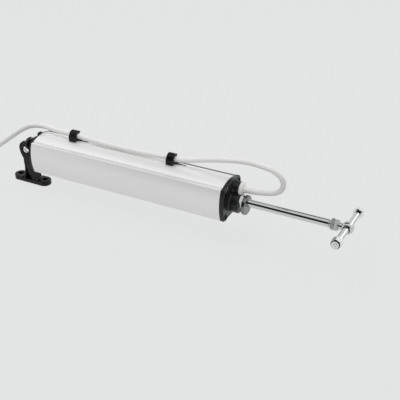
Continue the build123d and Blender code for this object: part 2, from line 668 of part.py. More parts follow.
def screw_coupling():
    """The sleeve that joins the slow shaft to the lead screw, with two grub screws' holes."""
    joint = GEARBOX_FRONT + OUTPUT_SHAFT_LENGTH + 0.3
    sleeve = bar(COUPLING_RADIUS, COUPLING_REAR, COUPLING_FRONT)
    sleeve -= bar(OUTPUT_SHAFT_RADIUS + 0.01, COUPLING_REAR - 1, joint)
    sleeve -= bar(SCREW_SPINDLE_RADIUS + 0.01, joint, COUPLING_FRONT + 1)
    for x in (COUPLING_REAR + 4, COUPLING_FRONT - 2.5):
        sleeve -= Pos(x, 0, AXIS_HEIGHT + COUPLING_RADIUS) * Cylinder(1.3, COUPLING_RADIUS)
    return sleeve


def lead_screw():
    """The spindle, with the collar that rests on the bearing."""
    start = GEARBOX_FRONT + OUTPUT_SHAFT_LENGTH + 0.3
    end = NUT_FRONT - 2
    collar = BEARING_FRONT + SEAT_CLEARANCE
    return turned(
        (start, 0), (start, SCREW_SPINDLE_RADIUS), (collar, SCREW_SPINDLE_RADIUS),
        (collar, SPINDLE_COLLAR_RADIUS), (collar + SPINDLE_COLLAR_LENGTH, SPINDLE_COLLAR_RADIUS),
        (collar + SPINDLE_COLLAR_LENGTH, SCREW_SPINDLE_RADIUS), (end - 1, SCREW_SPINDLE_RADIUS),
        (end, SCREW_SPINDLE_RADIUS - 1), (end, 0),
    )


def bearing_carrier():
    """The block that holds the bearing, seats the gearbox and starts the guide tube."""
    block = along_x(cavity_section(SLIDE_CLEARANCE), GEARBOX_FRONT, CARRIER_FRONT)
    rail_foot = BOARD_FLOOR - RAIL_THICKNESS - 0.3
    cover = Box(CARRIER_LENGTH + 2, 80, 40, align=(Align.CENTER, Align.CENTER, Align.MIN))
    block -= Pos((GEARBOX_FRONT + CARRIER_FRONT) / 2, 0, rail_foot) * cover
    for y, z in PORTS:
        block -= bar(PORT_RADIUS + SLIDE_CLEARANCE, GEARBOX_FRONT - 1, CARRIER_FRONT + 1, y, z)
    for side in (-1, 1):
        block -= Pos(
            (GEARBOX_FRONT + CARRIER_FRONT) / 2, side * PROFILE_WIDTH / 2, PROFILE_FLOOR
        ) * Box(CARRIER_LENGTH + 2, 2 * (PROFILE_WIDTH / 2 - LOWER_PORT[0] + PORT_RADIUS), 8)
    block += bar(TUBE_BORE - SEAT_CLEARANCE, CARRIER_FRONT - 1, CARRIER_FRONT + COLLAR_LENGTH)
    bore = bar(CARRIER_BORE_RADIUS, GEARBOX_FRONT - 1, CARRIER_FRONT + COLLAR_LENGTH + 1)
    seat = bar(BEARING_RADIUS + SEAT_CLEARANCE, GEARBOX_FRONT - 1, BEARING_FRONT + SEAT_CLEARANCE)
    return block - bore - seat


def bearing_race():
    """The ring that the balls run in, cut out of both bearing rings."""
    middle = (BEARING_REAR + BEARING_FRONT) / 2
    pitch = (BEARING_RADIUS + SCREW_SPINDLE_RADIUS) / 2
    groove = Pos(middle, pitch) * Circle(BALL_RADIUS + RUN_CLEARANCE)
    return Pos(0, 0, AXIS_HEIGHT) * revolve(Plane.XZ * groove, Axis.X)


def bearing_outer_ring():
    inner = BEARING_RADIUS - BEARING_RING
    ring = bar(BEARING_RADIUS, BEARING_REAR, BEARING_FRONT) - bar(inner, BEARING_REAR - 1, BEARING_FRONT + 1)
    return ring - bearing_race()


def bearing_inner_ring():
    bore = SCREW_SPINDLE_RADIUS + 0.01
    ring = bar(SCREW_SPINDLE_RADIUS + BEARING_RING, BEARING_REAR, BEARING_FRONT)
    return ring - bar(bore, BEARING_REAR - 1, BEARING_FRONT + 1) - bearing_race()


def bearing_balls():
    middle = (BEARING_REAR + BEARING_FRONT) / 2
    pitch = (BEARING_RADIUS + SCREW_SPINDLE_RADIUS) / 2
    balls = []
    for step in range(BALL_COUNT):
        angle = 2 * pi * step / BALL_COUNT
        centre = (middle, pitch * cos(angle), AXIS_HEIGHT + pitch * sin(angle))
        balls.append(Pos(*centre) * Sphere(BALL_RADIUS))
    return balls


def board_slab(x, y, length, width, height):
    """A block standing on the control board."""
    block = Box(length, width, height, align=(Align.CENTER, Align.CENTER, Align.MIN))
    return Pos(x, y, BOARD_FLOOR + BOARD_THICKNESS) * block


def control_board():
    """The motor control board, held between the profile's rails and screw ports."""
    board = Box(
        BOARD_LENGTH, 2 * BOARD_HALF_WIDTH, BOARD_THICKNESS, align=(Align.MAX, Align.CENTER, Align.MIN)
    )
    return Pos(BOARD_FRONT, 0, BOARD_FLOOR) * board


def board_components():
    """Relays, a capacitor lying on its side and a driver chip."""
    can_radius = 3.4
    can = bar(can_radius, BOARD_REAR + 10, BOARD_REAR + 28, -5, BOARD_FLOOR + BOARD_THICKNESS + can_radius)
    parts = [can]
    for x in (BOARD_REAR + 42, BOARD_REAR + 60):
        parts.append(board_slab(x, -3, 15, 10, 7))
    parts.append(board_slab(BOARD_REAR + 80, 0, 12, 8, 1.8))
    return parts


def terminal_block():
    """The block that the cable's wires are screwed into."""
    block = board_slab(BOARD_FRONT - 5, 0, 9, 20, 7)
    for step in range(4):
        y = -7.5 + 5 * step
        block -= Pos(BOARD_FRONT - 5, y, BOARD_FLOOR + BOARD_THICKNESS + 7) * Cylinder(1.6, 3)
    return block


def limit_switch_bodies():
    """The two switches on the guide tube's rails, one for each end of the stroke."""
    length, depth, height = SWITCH_SIZE
    y = TUBE_RAIL_REACH + 0.1
    case = Box(length, depth, height, align=(Align.CENTER, Align.MIN, Align.CENTER))
    return [Pos(x, y, AXIS_HEIGHT) * case for x in SWITCH_CENTRES]


def limit_switch_plungers():
    length = TUBE_RAIL_REACH - NUT_KEY_REACH - SIDE_CLEARANCE
    pin = Cylinder(PLUNGER_RADIUS, length, align=(Align.CENTER, Align.CENTER, Align.MAX))
    return [
        Pos(x, TUBE_RAIL_REACH + 0.1 - length, AXIS_HEIGHT) * (Rot(90, 0, 0) * pin)
        for x in SWITCH_CENTRES
    ]


def dome_height(y):
    """Height of the profile's dome at a distance from its middle."""
    half = PROFILE_WIDTH / 2 - LIP_WIDTH - GROOVE_WIDTH
    rise = DOME_RISE - DOME_EDGE_RISE
    radius = (half * half + rise * rise) / (2 * rise)
    return CROWN - radius + sqrt(radius * radius - y * y)


def cable_clip(centre):
    """A clip that hooks into the rear groove and holds the cable above the dome."""
    rear = PROFILE_WIDTH / 2 - LIP_WIDTH
    groove_inner = rear - GROOVE_WIDTH
    lift = 0.1
    inner = [(y, dome_height(y) + lift) for y in (CLIP_FRONT, groove_inner / 2, groove_inner)]
    outer = [(y, z + CLIP_BASE) for y, z in inner]
    hook_foot = PROFILE_TOP - GROOVE_DEPTH + lift
    edges = ThreePointArc(*inner).edges()
    edges += Polyline(
        inner[2], (groove_inner + lift, inner[2][1]), (groove_inner + lift, hook_foot),
        (rear - lift, hook_foot), (rear - lift, hook_foot + 2), (rear - 1.2, outer[2][1]), outer[2],
    ).edges()
    edges += ThreePointArc(*outer).edges()
    edges += Line(inner[0], outer[0]).edges()
    base = make_face(edges)
    bore = CABLE_RADIUS + SLIDE_CLEARANCE
    wall = Pos(CLIP_FRONT, outer[0][1] - CLIP_BASE) * Rectangle(
        CABLE_Y - CLIP_FRONT, CABLE_Z - inner[0][1], align=(Align.MIN, Align.MIN)
    )
    ring = Pos(CABLE_Y, CABLE_Z) * Circle(CLIP_HOOK_RADIUS)
    front = Pos(CLIP_FRONT, CABLE_Z) * Rectangle(
        CABLE_Y - CLIP_FRONT, 2.0, align=(Align.MIN, Align.CENTER)
    )
    hook = wall + ring + front
    mouth = make_face(Polyline(
        (CABLE_Y, CABLE_Z), (CABLE_Y + 20, CABLE_Z + 17), (CABLE_Y + 20, CABLE_Z - 8),
        (CABLE_Y, CABLE_Z - 2.6), close=True,
    ).edges())
    section = base + (hook - mouth) - Pos(CABLE_Y, CABLE_Z) * Circle(bore)
    section -= Pos(0, lift) * outer_section(grooved=True)
    return along_x(section, centre - CLIP_WIDTH / 2, centre + CLIP_WIDTH / 2)


def leg_section():
    """Side view of the bracket's leg and fork, flared towards the foot."""
    top = AXIS_HEIGHT + ARM_TOP
    foot = FOOT_HEIGHT - FOOT_STEP - 0.1
    knee = 0.45 * LEG_WAIST_HEIGHT
    knee_half = LEG_HALF_WAIST + 0.9
    front_top = -0.4 * ARM_ROUND
    edges = Line((-LEG_HALF_FOOT, foot), (LEG_HALF_FOOT, foot)).edges()
    edges += ThreePointArc(
        (LEG_HALF_FOOT, foot), (knee_half, knee), (LEG_HALF_WAIST, LEG_WAIST_HEIGHT)
    ).edges()
    edges += Polyline(
        (LEG_HALF_WAIST, LEG_WAIST_HEIGHT), (ARM_BACK, AXIS_HEIGHT - 8), (ARM_BACK, top), (front_top, top)
    ).edges()
    edges += ThreePointArc(
        (front_top, top), (-0.93 * ARM_ROUND, AXIS_HEIGHT + 0.6 * ARM_ROUND), (-ARM_ROUND, AXIS_HEIGHT - 1)
    ).edges()
    edges += ThreePointArc(
        (-ARM_ROUND, AXIS_HEIGHT - 1), (-0.8 * ARM_ROUND, AXIS_HEIGHT - 8),
        (-LEG_HALF_WAIST, AXIS_HEIGHT - 13.5),
    ).edges()
    edges += Line((-LEG_HALF_WAIST, AXIS_HEIGHT - 13.5), (-LEG_HALF_WAIST, LEG_WAIST_HEIGHT)).edges()
    edges += ThreePointArc(
        (-LEG_HALF_WAIST, LEG_WAIST_HEIGHT), (-knee_half, knee), (-LEG_HALF_FOOT, foot)
    ).edges()
    return make_face(edges)


def leg_pocket():
    """The hollow in one side of the leg, deep at the foot and fading out upwards."""
    foot = FOOT_HEIGHT - FOOT_STEP
    base = LEG_HALF_FOOT - POCKET_RIM
    waist = LEG_HALF_WAIST - POCKET_RIM
    knee = 0.45 * LEG_WAIST_HEIGHT
    edges = Line((-base, foot), (base, foot)).edges()
    for side in (-1, 1):
        edges += ThreePointArc(
            (side * base, foot), (side * (waist + 0.9), knee), (side * waist, POCKET_TOP)
        ).edges()
    edges += Line((-waist, POCKET_TOP), (waist, POCKET_TOP)).edges()
    front = FOOT_WIDTH / 2
    block = extrude(Plane.XZ * make_face(edges), front + 1)
    wedge = make_face(Polyline(
        (-front - 1, foot), (-front + POCKET_DEPTH, foot), (-front, POCKET_TOP), (-front - 1, POCKET_TOP),
        close=True,
    ).edges())
    return block & along_x(wedge, -FOOT_LENGTH / 2, FOOT_LENGTH / 2)


def mounting_bracket():
    """The moulded bracket: a slotted-end foot, a flared leg and the fork for the pivot."""
    half = FOOT_WIDTH / 2
    foot = extrude(SlotOverall(FOOT_LENGTH, FOOT_WIDTH), FOOT_HEIGHT)
    foot = fillet(foot.faces().sort_by(Axis.Z)[-1].edges(), 0.8)
    foot -= Pos(0, 0, FOOT_HEIGHT) * Box(2 * FOOT_STEP_HALF, 2 * FOOT_WIDTH, 2 * FOOT_STEP)
    for side in (-1, 1):
        x = side * HOLE_SPACING / 2
        foot -= Pos(x, 0, 0) * Cylinder(HOLE_RADIUS, 4 * FOOT_HEIGHT)
        foot -= Pos(x, 0, FOOT_HEIGHT) * Cylinder(HOLE_SINK_RADIUS, 2 * HOLE_SINK_DEPTH)
    leg = extrude(Plane.XZ * leg_section(), half, both=True)
    arm_gap = LUG_HALF + SIDE_CLEARANCE
    gap_height = AXIS_HEIGHT + ARM_TOP + 1 - FORK_BOTTOM
    leg -= Pos(0, 0, FORK_BOTTOM) * Box(
        4 * ARM_ROUND, 2 * arm_gap, gap_height, align=(Align.CENTER, Align.CENTER, Align.MIN)
    )
    leg -= leg_pocket()
    leg -= mirror(leg_pocket(), Plane.XZ)
    bracket = foot + leg
    bracket -= Pos(*PIVOT) * (Rot(90, 0, 0) * Cylinder(PIVOT_RADIUS + SEAT_CLEARANCE, 4 * half))
    sink = Cylinder(PIVOT_SINK_RADIUS, PIVOT_HEAD_HEIGHT, align=(Align.CENTER, Align.CENTER, Align.MIN))
    sink_place = Plane(origin=(0, -half + PIVOT_HEAD_HEIGHT, AXIS_HEIGHT), x_dir=(1, 0, 0), z_dir=(0, -1, 0))
    return bracket - sink_place * sink


def pivot_screw():
    """The slotted screw that the actuator swings on."""
    half = FOOT_WIDTH / 2
    seat = Plane(origin=(0, -half + PIVOT_HEAD_HEIGHT, AXIS_HEIGHT), x_dir=(1, 0, 0), z_dir=(0, -1, 0))
    length = FOOT_WIDTH - PIVOT_HEAD_HEIGHT + PIVOT_NUT_LENGTH + 1
    head = screw_head(PIVOT_HEAD_RADIUS, PIVOT_HEAD_HEIGHT, SLOT_WIDTH, SLOT_DEPTH)
    shank = Cylinder(PIVOT_RADIUS, length, align=(Align.CENTER, Align.CENTER, Align.MAX))
    return seat * (Rot(0, 0, -40) * head + shank)


def pivot_nut():
    seat = Plane(origin=(0, FOOT_WIDTH / 2, AXIS_HEIGHT), x_dir=(1, 0, 0), z_dir=(0, 1, 0))
    return seat * hex_nut(PIVOT_NUT_ACROSS, PIVOT_NUT_LENGTH, PIVOT_RADIUS + THREAD_SEAT)


def pivot_bush():
    """The sleeve in the rear cap's lug that turns on the pivot screw."""
    sleeve = Cylinder(PIVOT_RADIUS + PIVOT_BUSH_WALL, 2 * LUG_HALF)
    sleeve -= Cylinder(PIVOT_RADIUS + RUN_CLEARANCE, 3 * LUG_HALF)
    return Pos(*PIVOT) * (Rot(90, 0, 0) * sleeve)


def rod_end_nut():
    nut = hex_nut(ROD_NUT_ACROSS, ROD_NUT_LENGTH, EYE_SHANK_RADIUS + THREAD_SEAT)
    return Plane.YZ.offset(ROD_END) * (Pos(0, AXIS_HEIGHT, 0) * (Rot(0, 0, 12) * nut))


def lock_nut():
    nut = hex_nut(ROD_NUT_ACROSS, LOCK_NUT_LENGTH, EYE_SHANK_RADIUS + THREAD_SEAT)
    start = ROD_END + ROD_NUT_LENGTH
    return Plane.YZ.offset(start) * (Pos(0, AXIS_HEIGHT, 0) * (Rot(0, 0, 31) * nut))


def pin_plane():
    """The eye's middle, with Z along the cross pin towards the far side."""
    clock = radians(PIN_CLOCK)
    return Plane(origin=(EYE_X, 0, AXIS_HEIGHT), x_dir=(1, 0, 0), z_dir=(0, cos(clock), -sin(clock)))


def eye_bolt():
    """The eye bolt screwed into the rod, its eye bored for the cross pin."""
    neck = EYE_RADIUS * 0.7
    bolt = turned(
        (ROD_END - EYE_SHANK_LENGTH, 0), (ROD_END - EYE_SHANK_LENGTH, EYE_SHANK_RADIUS - THREAD_SEAT),
        (EYE_X - EYE_RADIUS - 1, EYE_SHANK_RADIUS - THREAD_SEAT), (EYE_X - neck, EYE_THICKNESS / 2 - 0.2),
        (EYE_X, EYE_THICKNESS / 2 - 0.2), (EYE_X, 0),
    )
    eye = Cylinder(EYE_RADIUS, EYE_THICKNESS)
    eye = fillet(eye.edges().filter_by(GeomType.CIRCLE), EYE_ROUND)
    bolt += pin_plane() * eye
    return bolt - pin_plane() * Cylinder(PIN_RADIUS + RUN_CLEARANCE, 3 * EYE_THICKNESS)


def cross_pin():
    """The pin through the eye, stepped down to a thread at its near end."""
    outline = [
        (0, -PIN_NEAR_END), (PIN_THREAD_RADIUS - 0.6, -PIN_NEAR_END),
        (PIN_THREAD_RADIUS, -PIN_NEAR_END + 0.6), (PIN_THREAD_RADIUS, -PIN_SHOULDER),
        (PIN_RADIUS, -PIN_SHOULDER), (PIN_RADIUS, PIN_FAR_END - 0.8), (PIN_RADIUS - 0.8, PIN_FAR_END),
        (0, PIN_FAR_END),
    ]
    face = make_face(Polyline(*outline, close=True).edges())
    return pin_plane() * revolve(Plane.XZ * face, Axis.Z)


def on_pin(start, piece, near):
    """A piece that stands along +Z, set at a distance along the pin on one side of the eye."""
    turn = Rot(180, 0, 0) if near else Rot(0, 0, 0)
    return pin_plane() * (turn * (Pos(0, 0, start) * piece))


def pin_collars():
    """The two hexagon collars on the pin, the far one further out."""
    collar = hex_nut(COLLAR_ACROSS, PIN_COLLAR_LENGTH, PIN_RADIUS + THREAD_SEAT)
    return [on_pin(NEAR_COLLAR, collar, True), on_pin(FAR_COLLAR, collar, False)]


def pin_washers():
    rim = 0.4
    outer = WASHER_RADIUS
    bore = PIN_RADIUS + THREAD_SEAT
    outline = [
        (bore, 0), (outer - rim, 0), (outer, rim), (outer, WASHER_THICKNESS - rim),
        (outer - rim, WASHER_THICKNESS), (bore, WASHER_THICKNESS),
    ]
    washer = revolve(Plane.XZ * make_face(Polyline(*outline, close=True).edges()), Axis.Z)
    return [on_pin(NEAR_WASHER, washer, True), on_pin(FAR_WASHER, washer, False)]


def pin_end_nut():
    nut = hex_nut(PIN_NUT_ACROSS, PIN_NUT_LENGTH, PIN_THREAD_RADIUS + THREAD_SEAT)
    return on_pin(PIN_SHOULDER + SEAT_CLEARANCE, nut, True)


def corner_radii(route):
    """The arc at each corner of a route, 0.45 of its shorter run over the tangent of half its turn."""
    points = [Vector(*point) for point in route]
    radii = []
    for before, corner, after in zip(points, points[1:], points[2:]):
        run_in = corner - before
        run_out = after - corner
        half_turn = radians(run_in.get_angle(run_out)) / 2
        radii.append(0.45 * min(run_in.length, run_out.length) / tan(half_turn))
    return radii


def cable_along(name, route):
    """A round cable along a route of straight runs joined by tangent arcs."""
    radii = corner_radii(route)
    path = FilletPolyline(*route, radius=radii)
    start = Plane(origin=path @ 0, z_dir=path % 0)
    tube = sweep(start * Circle(CABLE_RADIUS), path=path)
    expected = pi * CABLE_RADIUS ** 2 * path.length
    print(name, "length", round(path.length, 1), "tightest radius", round(min(radii), 1))
    print(name, "radii", [round(radius, 1) for radius in radii])
    print(name, "volume over section times length", round(tube.volume / expected, 5))
    return tube


def supply_cable():
    return cable_along("supply_cable", CABLE_ROUTE)


def cable_tail():
    return cable_along("cable_tail", TAIL_ROUTE)


def cable_coil():
    """The outer shape of the cable's put-away turns, lying on the floor."""
    width = COIL_TURNS_WIDE * 2 * CABLE_RADIUS
    height = COIL_TURNS_HIGH * 2 * CABLE_RADIUS
    section = Pos(COIL_RADIUS, height / 2) * RectangleRounded(width, height, CABLE_RADIUS - 0.1)
    ring = revolve(Plane.XZ * section, Axis.Z)
    return Pos(COIL_CENTRE[0], COIL_CENTRE[1], 0) * ring


def cable_cores():
    """The three bared wires at the cable's far end, fanned out a little."""
    end = Vector(*TAIL_ROUTE[-1])
    heading = (end - Vector(*TAIL_ROUTE[-2])).normalized()
    cores = []
    for step in (-1, 0, 1):
        side = Vector(-heading.Y, heading.X, 0) * step
        start = end + heading * 0.1 + side * 2 * CORE_RADIUS * 1.05
        aim = (heading + side * 0.08).normalized()
        core = Cylinder(CORE_RADIUS, CORE_LENGTH, align=(Align.CENTER, Align.CENTER, Align.MIN))
        cores.append(Plane(origin=start, z_dir=aim) * core)
    return cores


NODES = {
    "housing_profile": housing_profile,
    "front_gasket": lambda: gasket(PROFILE_FRONT),
    "rear_gasket": lambda: gasket(REAR_SEAT),
    "front_cap": front_cap,
    "rear_cap": rear_cap,
    "front_cap_screws": front_cap_screws,
    "rear_cap_screws": rear_cap_screws,
    "rod_guide_bush": rod_guide_bush,
    "guide_nut": guide_nut,
    "rod_wiper_seal": rod_wiper_seal,
    "guide_flange": guide_flange,
    "cable_gland": cable_gland,
    "cable_inner_end": cable_inner_end,
    "cable_clip_rear": lambda: cable_clip(CLIP_CENTRES[0]),
    "cable_clip_front": lambda: cable_clip(CLIP_CENTRES[1]),
    "nut_guide_tube": nut_guide_tube,
    "motor_can": motor_can,
    "motor_end_bell": motor_end_bell,
    "gearbox_housing": gearbox_housing,
    "bearing_carrier": bearing_carrier,
    "bearing_outer_ring": bearing_outer_ring,
    "bearing_balls": bearing_balls,
    "control_board": control_board,
    "board_components": board_components,
    "terminal_block": terminal_block,
    "limit_switch_bodies": limit_switch_bodies,
    "limit_switch_plungers": limit_switch_plungers,
    "pivot_bush": pivot_bush,
    "gearbox_output_shaft": gearbox_output_shaft,
    "screw_coupling": screw_coupling,
    "lead_screw": lead_screw,
    "bearing_inner_ring": bearing_inner_ring,
    "drive_nut": drive_nut,
    "push_rod": push_rod,
    "rod_end_nut": rod_end_nut,
    "lock_nut": lock_nut,
    "eye_bolt": eye_bolt,
    "cross_pin": cross_pin,
    "pin_collars": pin_collars,
    "pin_washers": pin_washers,
    "pin_end_nut": pin_end_nut,
    "mounting_bracket": mounting_bracket,
    "pivot_screw": pivot_screw,
    "pivot_nut": pivot_nut,
    "supply_cable": supply_cable,
    "cable_coil": cable_coil,
    "cable_tail": cable_tail,
    "cable_cores": cable_cores,
}

os.makedirs("parts", exist_ok=True)
for node, make in NODES.items():
    shape = make()
    if isinstance(shape, list):
        shape = Compound(shape)
    export_step(shape, f"parts/{node}.step")
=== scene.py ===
# Electric spindle actuator, dressed for the picture. Metres, +X along the push rod, +Z up.

from math import cos, pi, radians, sin

import bpy
import bmesh
from mathutils import Matrix, Vector


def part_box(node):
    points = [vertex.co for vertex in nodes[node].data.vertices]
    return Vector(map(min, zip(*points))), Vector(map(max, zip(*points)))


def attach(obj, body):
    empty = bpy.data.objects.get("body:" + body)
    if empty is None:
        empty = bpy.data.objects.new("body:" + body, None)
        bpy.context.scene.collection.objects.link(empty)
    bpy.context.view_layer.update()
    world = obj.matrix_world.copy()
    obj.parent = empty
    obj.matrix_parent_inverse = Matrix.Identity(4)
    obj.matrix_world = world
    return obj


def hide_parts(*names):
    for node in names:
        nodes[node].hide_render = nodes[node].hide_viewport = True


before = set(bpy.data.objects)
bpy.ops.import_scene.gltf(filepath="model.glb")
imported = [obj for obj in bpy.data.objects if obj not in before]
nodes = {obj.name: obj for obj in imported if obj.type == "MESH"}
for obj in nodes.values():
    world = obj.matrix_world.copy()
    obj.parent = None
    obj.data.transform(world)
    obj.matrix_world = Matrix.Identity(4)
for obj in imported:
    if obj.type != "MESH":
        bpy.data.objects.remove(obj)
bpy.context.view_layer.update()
scene = bpy.context.scene
MM = 0.001

# Camera, from the photograph's vanishing lines
CAMERA_PLACE = (0.6461, -0.7440, 0.5331)
CAMERA_TILT = radians(59.32)
CAMERA_TURN = radians(26.83)
CAMERA_LENS = 68.11

# Pale studio: what the camera sees behind the part, as linear grey
BACKGROUND = (0.787, 0.803, 0.802, 1)
FLOOR_HALF = 6.0
FLOOR_DIFFUSE = (0.6, 0.6, 0.6, 1)
FLOOR_GLOW = 0.9               # share of the floor's colour that takes no shadow
WORLD_STRENGTH = 0.68

# Soft boxes: place, aim, width and depth, brightness
OVERHEAD_LIGHT = ((-0.1, 0.0, 1.5), (0.2, 0.0, 0.05), (1.2, 1.0), 2.5)
RIGHT_BACK_LIGHT = ((1.05, 1.15, 0.6), (0.46, 0, 0.05), (0.5, 0.45), 4.0)

# Cards that only the polished pieces mirror: place, aim, width and height, grey
FRONT_CARD = ((0.35, -1.07, 0.61), (0.35, 0, 0.05), (2.3, 1.28), 0.02)
BACK_CARD = ((0.0, 0.8, 0.95), (0.2, 0, 0.05), (1.3, 0.76), 0.05)

# From here on, places and sizes are in millimetres.
# Cable: its route from the gland to the coil, and from the coil to its bare end
CABLE_RADIUS = 3.5 * MM
GLAND_TIP = (330.5, 8.0, 64.6)
CABLE_ROUTE = [
    GLAND_TIP,
    (341.0, 8.0, 64.6),
    (355.0, 8.0, 66.8),
    (369.2, 7.3, 70.4),
    (380.0, 4.8, 80.6),
    (380.0, 1.2, 95.4),
    (369.2, -1.3, 106.0),
    (352.0, 0.4, 107.4),
    (334.0, 3.4, 106.8),
    (316.0, 6.0, 103.6),
    (297.0, 7.3, 99.2),
    (276.0, 7.5, 94.6),
    (256.0, 7.2, 89.2),
    (239.0, 7.0, 85.3),
    (214.0, 7.0, 84.7),
    (190.0, 7.1, 83.2),
    (161.0, 7.3, 82.3),
    (131.0, 7.2, 82.4),
    (106.0, 7.0, 83.3),
    (90.0, 7.0, 84.8),
    (64.0, 7.0, 85.2),
    (44.0, 8.0, 85.3),
    (24.0, 10.0, 86.2),
    (4.0, 13.6, 82.6),
    (-15.0, 17.6, 74.0),
    (-35.0, 21.6, 60.4),
    (-55.0, 22.8, 45.2),
    (-75.0, 23.4, 29.8),
    (-93.0, 23.8, 17.2),
    (-111.0, 24.2, 7.6),
    (-130.0, 24.0, 3.7),
    (-150.0, 23.5, 3.5),
]
TAIL_ROUTE = [
    (-164.0, 24.8, 10.2),
    (-179.0, 24.4, 6.0),
    (-194.0, 21.0, 3.6),
    (-207.0, 14.0, 3.5),
]
COIL_CENTRE = (-150.0, -22.0)
COIL_RADIUS = 38.5             # of its middle turn
COIL_PITCH = 7.0
COIL_POINTS = 16               # control points in a turn
COIL_TURNS = 6
LAYER_TURNS = 3
LAYER_HEIGHTS = (3.5, 10.5)
RISE_START = 2.5               # turns before the cable climbs to the upper layer
STEP_SHARE = 0.25              # of a turn, for a climb or for a move by one pitch

# Housing: the crown of its top, the strips in its grooves as rectangles of Y and Z, darker than the profile
# as painted shade, and its front lip, paler as a painted highlight
AXIS_HEIGHT = 52.3             # of the push rod, the pivot and the cross pin
CLIPS = ("cable_clip_rear", "cable_clip_front")
DOME_TOP = 78.7
DOME_DROP = 3.7
GROOVE_INNER = 17.6
FRONT_STRIP = (-21.6, -17.6, 72.5, 74.45)
REAR_GROOVE_SHADE = (17.7, 21.5, 72.5, 73.4)
LIP_OUTLINE = [(-23.05, 73.7), (-22.6, 73.7), (-22.6, 74.3), (-21.3, 74.3), (-21.3, 74.52), (-23.05, 74.52)]
STRIP_END_GAP = 0.2
STRIP_CLIP_GAP = 0.3

# Dark wedges of painted shadow beside the clips, under the cable: distance from the clip, inner side and
# outer side of each section
SHADOW_WEDGE_SECTIONS = ((0, 6.5, 11.0), (6, 7.6, 10.8), (14, 9.4, 10.4))
SHADOW_WEDGE_OVERLAP = 0.2
SHADOW_WEDGE_SINK = 0.2
SHADOW_WEDGE_RISE = 0.5

# Front cap: the ridges on its upper rim, pale as painted highlights, and the gland's ring as radius and
# height over the boss's mouth
CAP_DEPTH = 5.0
CAP_RIDGES = 9
RIDGE_FIRST = (-22.6, 70.0)
RIDGE_SPREAD = (8.0, 5.6)
RIDGE_OUTLINE = ((-0.22, -0.3), (0.22, -0.15), (0.22, 0.3), (-0.22, 0.15))
RIDGE_SINK = 0.5
RIDGE_RISE = 0.3
GLAND_MOUTH = 322.9
GLAND_RING = ((3.6, 0), (8.9, 0), (9.3, 0.5), (9.3, 2.2), (8.6, 3.4), (6.9, 4.2), (3.6, 4.5))

# Bracket: the step edge on its foot, pale as a painted highlight, and the dark floor of the pivot screw's
# slot
FOOT_TOP = 6.5
FOOT_HALF_WIDTH = 8.6
STEP_EDGE = (11.9, 12.25, FOOT_TOP - 0.3, FOOT_TOP + 0.12)
SCREW_FACE = -9.0
SLOT_TURN = radians(-40)
SLOT_FLOOR = (-4.6, 4.6, -0.4, 0.4)
SLOT_DEPTHS = (-0.9, -0.25)

# Nuts: bore, and the chamfer as share of half the width across flats and distance from the end
NUT_BORE = 4.02
NUT_CHAMFER = ((0.96, 0.0), (1.06, 0.35))
NUT_CORNER = 0.8               # from the end to where the corners are full
GUIDE_NUT_BORE = 6.3
ROD_NUT_GAP = 1.6              # bright end of the rod before its nut

# Cross pin, along it from the middle of the eye. Nuts: width across flats, start and end
PIN_CLOCK = radians(5.5)       # how far it lies turned from level
PIN_NUT_TURN = radians(22)     # puts a flat of each nut towards the right-hand light
NEAR_PIN_NUT = (11.6, -47.0, -37.0)
FAR_PIN_NUT = (12.4, 42.0, 50.0)
NEAR_FACE = (3.02, 4.5, -48.6, -46.98)
NEAR_CHAMFER = [(4.52, -48.5), (5.6, -47.3), (5.6, -46.98), (4.52, -46.98)]

# Eye: half of its ring's outline as radius and height, its widest radius, and the thin dark rings of painted
# shade round the pin at its sides
EYE_HALF = [(4.1, 6.3), (4.9, 6.45), (6.0, 6.0), (6.9, 4.9), (7.5, 3.4), (7.75, 1.7)]
EYE_RADIUS = 7.82
GAP_SHADE_RADIUS = 4.75
GAP_SHADE_THICKNESS = 0.6
GAP_SHADE_STARTS = (("near_eye_gap_shade", -6.75), ("far_eye_gap_shade", 6.15))


def make_camera():
    scene.view_settings.view_transform = "Standard"
    data = bpy.data.cameras.new("camera")
    data.lens = CAMERA_LENS
    data.sensor_width = 36
    data.clip_start = 0.01
    camera = bpy.data.objects.new("camera", data)
    camera.location = CAMERA_PLACE
    camera.rotation_euler = (CAMERA_TILT, 0, CAMERA_TURN)
    scene.collection.objects.link(camera)
    scene.camera = camera


def area_light(name, place, aim, size, radiance):
    """A soft box of that brightness, which the camera doesn't see itself."""
    data = bpy.data.lights.new(name, "AREA")
    data.shape = "RECTANGLE"
    data.size, data.size_y = size
    data.energy = radiance * pi * size[0] * size[1]
    light = bpy.data.objects.new(name, data)
    light.location = place
    light.rotation_euler = (Vector(aim) - Vector(place)).to_track_quat("-Z", "Y").to_euler()
    light.visible_camera = False
    scene.collection.objects.link(light)
    return light


def make_lights():
    overhead = area_light("overhead_light", *OVERHEAD_LIGHT)
    overhead.visible_glossy = False
    area_light("right_back_light", *RIGHT_BACK_LIGHT)


def sheet(name, half_width, half_depth):
    """A flat rectangle round its own origin, with an empty material that still needs its surface."""
    mesh = bpy.data.meshes.new(name)
    corners = rectangle(-half_width, half_width, -half_depth, half_depth)
    mesh.from_pydata([(x, y, 0) for x, y in corners], [], [(0, 1, 2, 3)])
    flat = bpy.data.objects.new(name, mesh)
    scene.collection.objects.link(flat)
    material = bpy.data.materials.new(name)
    material.use_nodes = True
    mesh.materials.append(material)
    tree = material.node_tree
    tree.nodes.clear()
    out = tree.nodes.new("ShaderNodeOutputMaterial")
    return flat, tree, out.inputs["Surface"]


def glow(tree, color):
    """A shader that shows that colour in any light."""
    node = tree.nodes.new("ShaderNodeEmission")
    node.inputs["Color"].default_value = color
    return node.outputs[0]


